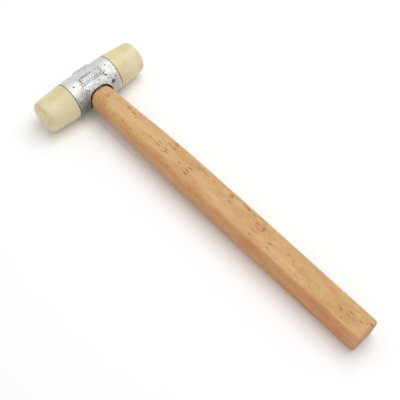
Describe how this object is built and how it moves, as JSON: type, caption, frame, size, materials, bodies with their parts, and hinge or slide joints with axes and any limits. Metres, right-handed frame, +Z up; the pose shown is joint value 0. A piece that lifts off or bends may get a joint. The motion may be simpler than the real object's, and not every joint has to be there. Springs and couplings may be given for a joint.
{
  "type": "jeweller's soft-faced hammer",
  "caption": "Small two-faced hammer: cast barrel head with a round nylon face screwed in at each end, on a wedged beech handle.",
  "frame": {"origin": "on the bench the hammer lies on, under the middle of its bounding box", "axes": "+X along the barrel towards the right-hand face, +Y along the handle from the butt towards the head, +Z up out of the barrel's upper flank"},
  "size_m": [0.0796, 0.2547, 0.0257],
  "materials": {
    "cast_metal": "rough as-cast light alloy, pale grey",
    "nylon": "cream nylon, satin, faintly translucent",
    "stud_steel": "plain steel screw thread",
    "beech": "steamed beech, lightly oiled",
    "wedge_wood": "darker hardwood, end grain",
    "wedge_steel": "plain steel"
  },
  "bodies": {
    "head_and_handle": {"head_casting": "cast_metal", "handle": "beech", "wooden_wedge": "wedge_wood", "steel_wedge": "wedge_steel"},
    "left_stud": {"face_stud_left": "stud_steel"},
    "left_face": {"nylon_face_left": "nylon"},
    "right_stud": {"face_stud_right": "stud_steel"},
    "right_face": {"nylon_face_right": "nylon"}
  },
  "joints": [
    {"name": "left_face_travel", "type": "slide", "parent": "head_and_handle", "child": "left_stud", "axis": [-1, 0, 0], "range_m": [0, 0.006]},
    {"name": "left_face_turn", "type": "hinge", "parent": "left_stud", "child": "left_face", "pos_m": [-0.0179, 0.11366, 0.0127], "axis": [-1, 0, 0], "range_deg": [0, 1725]},
    {"name": "right_face_travel", "type": "slide", "parent": "head_and_handle", "child": "right_stud", "axis": [1, 0, 0], "range_m": [0, 0.006]},
    {"name": "right_face_turn", "type": "hinge", "parent": "right_stud", "child": "right_face", "pos_m": [0.0179, 0.11366, 0.0127], "axis": [1, 0, 0], "range_deg": [0, 1725]}
  ],
  "couplings": [
    {"joint": "left_face_travel", "follows": "left_face_turn", "m_per_rad": 0.00019894},
    {"joint": "right_face_travel", "follows": "right_face_turn", "m_per_rad": 0.00019894}
  ]
}
